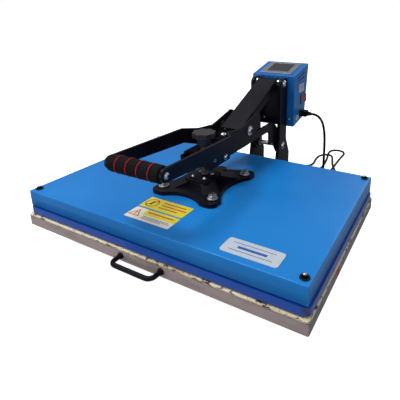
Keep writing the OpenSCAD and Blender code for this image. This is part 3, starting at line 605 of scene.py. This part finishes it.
def grip_piece():
    """The foam sleeve: bulging a little between its rings and rounded off at both ends."""
    low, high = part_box("foam_grip")
    middle = (Vector(low) + Vector(high)) / 2
    half, radius = (high[0] - low[0]) / 2, (high[2] - low[2]) / 2
    first_ring, ring_pitch, ring_count = -0.0345, 0.0235, 4
    rings_at = [first_ring + ring_pitch * i for i in range(ring_count)]
    end_round = 0.003
    bm = bmesh.new()
    rings = []
    stations, sides = 124, 72
    for i in range(stations + 1):
        x = -half + 2 * half * i / stations
        edge = min(half - abs(x), end_round)
        shoulder = end_round - math.sqrt(max(0.0, end_round ** 2 - (end_round - edge) ** 2))
        pinch = sum(math.exp(-((x - at) / 0.0028) ** 2) for at in rings_at)
        ring = []
        for k in range(sides):
            angle = 2 * math.pi * k / sides
            way = Vector((0, math.cos(angle), math.sin(angle)))
            lump = noise.noise(Vector((x * 70, way.y * 1.6, way.z * 1.6)))
            pore = noise.noise(Vector((x * 900, way.y * 14, way.z * 14)))
            reach = radius - shoulder - 0.0005 * pinch + 0.0002 * lump + 0.00012 * pore
            ring.append(bm.verts.new(middle + Vector((x, 0, 0)) + way * reach))
        rings.append(ring)
    bridge_rings(bm, rings)
    bm.faces.new(rings[0])
    bm.faces.new(reversed(rings[-1]))
    piece = add_piece("foam_sleeve", mesh_from(bm, "foam_sleeve"), FOAM, "lever",
                      ["foam_grip"])


def cover_piece():
    """The folded sheet-metal cover: rounded bends and a hollow inside, open below."""
    low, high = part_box("top_cover")
    middle = (Vector(low) + Vector(high)) / 2
    half = (Vector(high) - Vector(low)) / 2
    wall, bend, corner = 0.0015, 0.0016, 0.002
    panel_steps = (0.006, 0.03, 0.08, 0.14, 0.19)
    profile = [(0.0, low[2]), (0.0, high[2] - bend)]
    for k in range(1, 6):
        angle = math.pi / 2 * k / 5
        profile.append((bend * (1 - math.cos(angle)), high[2] - bend * (1 - math.sin(angle))))
    profile += [(inset, high[2]) for inset in panel_steps]
    inner = [(wall, low[2]), (wall, high[2] - wall)]
    inner += [(inset, high[2] - wall) for inset in panel_steps]
    bm = bmesh.new()
    skins = []
    for outline in (profile, inner):
        rings = []
        for inset, z in outline:
            ring = []
            for point in ring_of(half.x, half.y, corner, inset, 6):
                place = Vector((middle.x + point.x, middle.y + point.y, z))
                ring.append(bm.verts.new(place))
            rings.append(ring)
        bridge_rings(bm, rings)
        bm.faces.new(rings[-1])
        skins.append(rings)
    bridge_rings(bm, [skins[0][0], skins[1][0]])
    add_piece("cover_skin", mesh_from(bm, "cover_skin"), BLUE, "upper_platen", ["top_cover"])


pad_piece()
grip_piece()
cover_piece()


# ---- pieces that add to or replace CAD nodes ----


def pull_handle_piece():
    """A round-bar bow with collars where it meets the platen."""
    low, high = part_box("pull_handle")
    rod, clearance, sides = 0.0043, 0.0002, 28
    z = (low[2] + high[2]) / 2
    left, right = low[0] + rod + clearance, high[0] - rod - clearance
    front, back, turn = low[1] + rod, high[1], 0.012
    path = [Vector((left, back, z))]
    for middle, start in (((left + turn, front + turn), math.pi),
                          ((right - turn, front + turn), 1.5 * math.pi)):
        for k in range(13):
            angle = start + math.pi / 2 * k / 12
            path.append(Vector((middle[0] + turn * math.cos(angle),
                                middle[1] + turn * math.sin(angle), z)))
    path.append(Vector((right, back, z)))
    bm = bmesh.new()
    rings = []
    for i, place in enumerate(path):
        ahead = (path[min(i + 1, len(path) - 1)] - path[max(i - 1, 0)]).normalized()
        side = Vector((ahead.y, -ahead.x, 0))
        ring = []
        for k in range(sides):
            angle = 2 * math.pi * k / sides
            ring.append(bm.verts.new(place + rod * (math.cos(angle) * side
                                                    + math.sin(angle) * Vector((0, 0, 1)))))
        rings.append(ring)
    bridge_rings(bm, rings)
    for x in (left, right):
        collar = Matrix.Translation((x, back - 0.0014, z)) @ Matrix.Rotation(
            math.pi / 2, 4, "X")
        bmesh.ops.create_cone(bm, cap_ends=True, segments=36, radius1=0.0065, radius2=0.0058,
                              depth=0.0028, matrix=collar)
    add_piece("pull_bow", mesh_from(bm, "pull_bow"), BLACK, "drawer", ["pull_handle"])


def hex_sockets(name, body, spots):
    """Flat black hexagons on bolt heads, painted shade standing for their socket recesses; each
    spot is (x, y, z, across) with x outwards.
    """
    bm = bmesh.new()
    for x, y, z, across in spots:
        place = Matrix.Translation((x * MM, y * MM, z * MM)) @ Matrix.Rotation(
            math.pi / 2, 4, "Y")
        bmesh.ops.create_cone(bm, cap_ends=True, segments=6, radius1=across * MM / 1.73,
                              radius2=across * MM / 1.73, depth=0.0006, matrix=place)
    add_piece(name, mesh_from(bm, name), SOCKET_SHADOW, body, smooth=False)


def both_sides(spots):
    """Each spot and its mirror image on the press's other side."""
    return [(sign * x, y, z, across) for x, y, z, across in spots for sign in (1, -1)]


def flat_marks(name, shapes, z, material, body):
    """Thin printed shapes on a face that looks up; each shape is a list of x, y corners in mm."""
    bm = bmesh.new()
    for shape in shapes:
        bottom = [bm.verts.new((x * MM, y * MM, z * MM - 0.0001)) for x, y in shape]
        top = [bm.verts.new((x * MM, y * MM, z * MM + 0.00008)) for x, y in shape]
        bm.faces.new(top)
        bm.faces.new(list(reversed(bottom)))
        bridge_rings(bm, [bottom, top])
    add_piece(name, mesh_from(bm, name), material, body, smooth=False)


def bar(x0, y, length, height):
    """A plain upright rectangle of print, from its lower left corner."""
    return [(x0, y), (x0 + length, y), (x0 + length, y + height), (x0, y + height)]


def ring_parts(x, y, outer, inner, parts=28):
    """A ring as a row of four-sided parts."""
    shapes = []
    for k in range(parts):
        a, b = (2 * math.pi * n / parts for n in (k, k + 1))
        shapes.append([(x + r * math.cos(t), y + r * math.sin(t))
                       for r, t in ((inner, a), (outer, a), (outer, b), (inner, b))])
    return shapes


def triangle_parts(x, y, outer, inner):
    """A triangular frame as three four-sided parts."""
    turns = [math.pi / 2 + 2 * math.pi * k / 3 for k in range(3)]
    shapes = []
    for k in range(3):
        a, b = turns[k], turns[(k + 1) % 3]
        shapes.append([(x + r * math.cos(t), y + r * math.sin(t))
                       for r, t in ((inner, a), (outer, a), (outer, b), (inner, b))])
    return shapes


def weld_bead(name, body, runs, radius=0.0022):
    """Rippled beads along straight runs, each given by two end points in mm."""
    bm = bmesh.new()
    for first, second in runs:
        start, end = Vector(first) * MM, Vector(second) * MM
        ahead = (end - start).normalized()
        side = ahead.cross(Vector((0, 0, 1))).normalized()
        up = side.cross(ahead)
        steps = max(8, int((end - start).length / 0.0007))
        rings = []
        for i in range(steps + 1):
            place = start.lerp(end, i / steps)
            ripple = 1.0 + 0.16 * math.sin(i * 1.55) + 0.2 * noise.noise(place * 300)
            ends = min(1.0, 0.35 + min(i, steps - i) * 0.3)
            reach = radius * ripple * ends
            rings.append([bm.verts.new(place + reach * (math.cos(t) * side + math.sin(t) * up))
                          for t in (2 * math.pi * k / 12 for k in range(12))])
        bridge_rings(bm, rings)
        bm.faces.new(rings[0])
        bm.faces.new(reversed(rings[-1]))
    add_piece(name, mesh_from(bm, name), BLACK, body)


def side_label(name, y, z, width, height, material):
    """A thin label on the right face of the control box, with plain bars for its print."""
    film, bars = 0.0003, 3
    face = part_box("box_shell")[1][0]
    bm = bmesh.new()
    place = Matrix.Translation((face + 0.00005, y * MM, z * MM)) @ Matrix.Diagonal(
        (film, width * MM, height * MM, 1.0))
    bmesh.ops.create_cube(bm, size=1.0, matrix=place)
    add_piece(name, mesh_from(bm, name), material, "base", smooth=False)
    bm = bmesh.new()
    for k in range(bars):
        line = Matrix.Translation((face + 0.00022, y * MM, (z + (1 - k) * height * 0.26) * MM))
        shape = Matrix.Diagonal((0.0002, width * MM * (0.74 - 0.12 * k), height * MM * 0.08, 1.0))
        bmesh.ops.create_cube(bm, size=1.0, matrix=line @ shape)
    add_piece(name + "_print", mesh_from(bm, name), INK_DARK, "base", smooth=False)


pull_handle_piece()
hex_sockets("shaft_sockets", "base", both_sides([(50.2, 205, 147, 8), (50.2, 205, 316, 8)]))
hex_sockets("lift_sockets", "lift_arm", both_sides([
    (36.6, -111, 216, 5), (36.6, -71, 206, 5), (44.7, 24, 238, 7)]))
hex_sockets("grip_sockets", "lever", both_sides([(65.0, -293, 256, 4)]))
weld_bead("post_welds", "base", [
    ((side * x, 178, 50.3), (side * x, 252, 50.3)) for side in (1, -1) for x in (34.6, 43.4)])
weld_bead("base_welds", "base", [
    ((side * 149.6, y, z), (side * 149.6, y + 30, z))
    for side in (1, -1) for y in (-190, 165) for z in (12.4, 41.6)], 0.0018)
flat_marks("label_red_print",
           ring_parts(-40, -221, 14, 11.6) + [[(-50, -231), (-48, -233), (-30, -211), (-32, -209)]]
           + [bar(-18, y, w, 3.4) for y, w in ((-213, 50), (-222, 56), (-231, 42))]
           + [bar(-22, -254, 58, 3.4)],
           150.42, INK_RED, "upper_platen")
flat_marks("label_orange_print", triangle_parts(-42, -264, 15, 10),
           150.42, INK_ORANGE, "upper_platen")
flat_marks("label_dark_print",
           [bar(-43, -266, 2, 8), bar(-43, -270, 2, 2.4), bar(-42, -228, 4, 14)]
           + [bar(-22, y, w, 1.2) for y, w in ((-267, 58), (-270.5, 60), (-274, 44))],
           150.42, INK_DARK, "upper_platen")
flat_marks("name_plate_print",
           [bar(160, -258, 74, 1.2), bar(160, -277, 74, 1.2), bar(172, -270, 50, 5.5)],
           150.62, INK_BLUE, "upper_platen")
side_label("box_label_large", 285, 293, 34, 22, PALE_FILM)
side_label("box_label_small", 261, 214, 20, 14, PALE_FILM)


# ---- CAD nodes that keep their shape ----

for name in ("base_rail_left", "base_rail_right", "base_cross_tubes", "base_plate"):
    dress(name, BLACK, 0.0015, 3)
for name in ("post_left", "post_right", "post_bridge", "lift_plate_left", "lift_plate_right",
             "nut_block", "stop_plate", "lever_bar_left", "lever_bar_right", "hub_plate"):
    dress(name, BLACK, 0.0006)
dress("spider_bracket", BLACK, 0.0012, 3)
dress("main_arm", ARM, 0.0012, 3)
# Control box in the darkened blue: the cover's paint with painted shade.
for name in ("box_shell", "box_back"):
    dress(name, SHADED_BOX_BLUE, 0.0005)
for name in ("slide_outer", "slide_middle", "slide_inner", "spider_nuts", "hub_screws",
             "box_screws", "pull_screws"):
    dress(name, ZINC, 0.0003)
for name in ("lower_shaft", "upper_shaft", "shaft_spacers", "grip_tube"):
    dress(name, STEEL, 0.0003)
dress("pressure_screw", threaded("screw_thread", (0.34, 0.34, 0.36), 0.3, 0.002), 0.0003)
for name in ("spider_studs", "cover_studs"):
    dress(name, threaded(name, (0.4, 0.4, 0.42), 0.3, 0.00125), 0.0003)
for name in ("shaft_bolts", "lift_bolts", "lever_bolts", "grip_bolts"):
    dress(name, CHROME, 0.0003)
for name in ("rubber_feet", "cover_washers"):
    dress(name, RUBBER, 0.0004)
dress("grip_rings", RING_RED, 0.0006)
dress("cover_nuts", capped_nut(), 0.0003)
dress("pressure_knob", KNOB, 0.0015, 4)
dress("switch_bezel", GLOSS_BLACK, 0.0005)
dress("inlet", GLOSS_BLACK, 0.0005)
dress("rocker", ROCKER_RED, 0.0006, 3)
dress("cord_connector", CORD, 0.001, 3)
dress("mains_plug", CORD, 0.0008, 2)
dress("display_bezel", metal("bezel", (0.40, 0.43, 0.47), 0.42, grain=(0.05, 3.0, 1.0)), 0.0004)
dress("display_screen", moulded("screen", (0.022, 0.018, 0.021), 0.3, strength=0.01), 0.0002)
dress("heating_plate", plate_paint(), 0.0008, 3)
dress("lower_platen", platen_paint(), 0.001, 3)
dress("heating_element", metal("element", (0.2, 0.13, 0.09), 0.45))
dress("insulation", soft_rubber("wool", (0.7, 0.66, 0.56), 0.9))
dress("control_board", moulded("board", (0.015, 0.12, 0.04), 0.4))
dress("safety_labels", label_film(), 0.0)
dress("name_plate", print_film("grey_film", (0.52, 0.57, 0.63), (0.35, 0.42, 0.5)), 0.0)
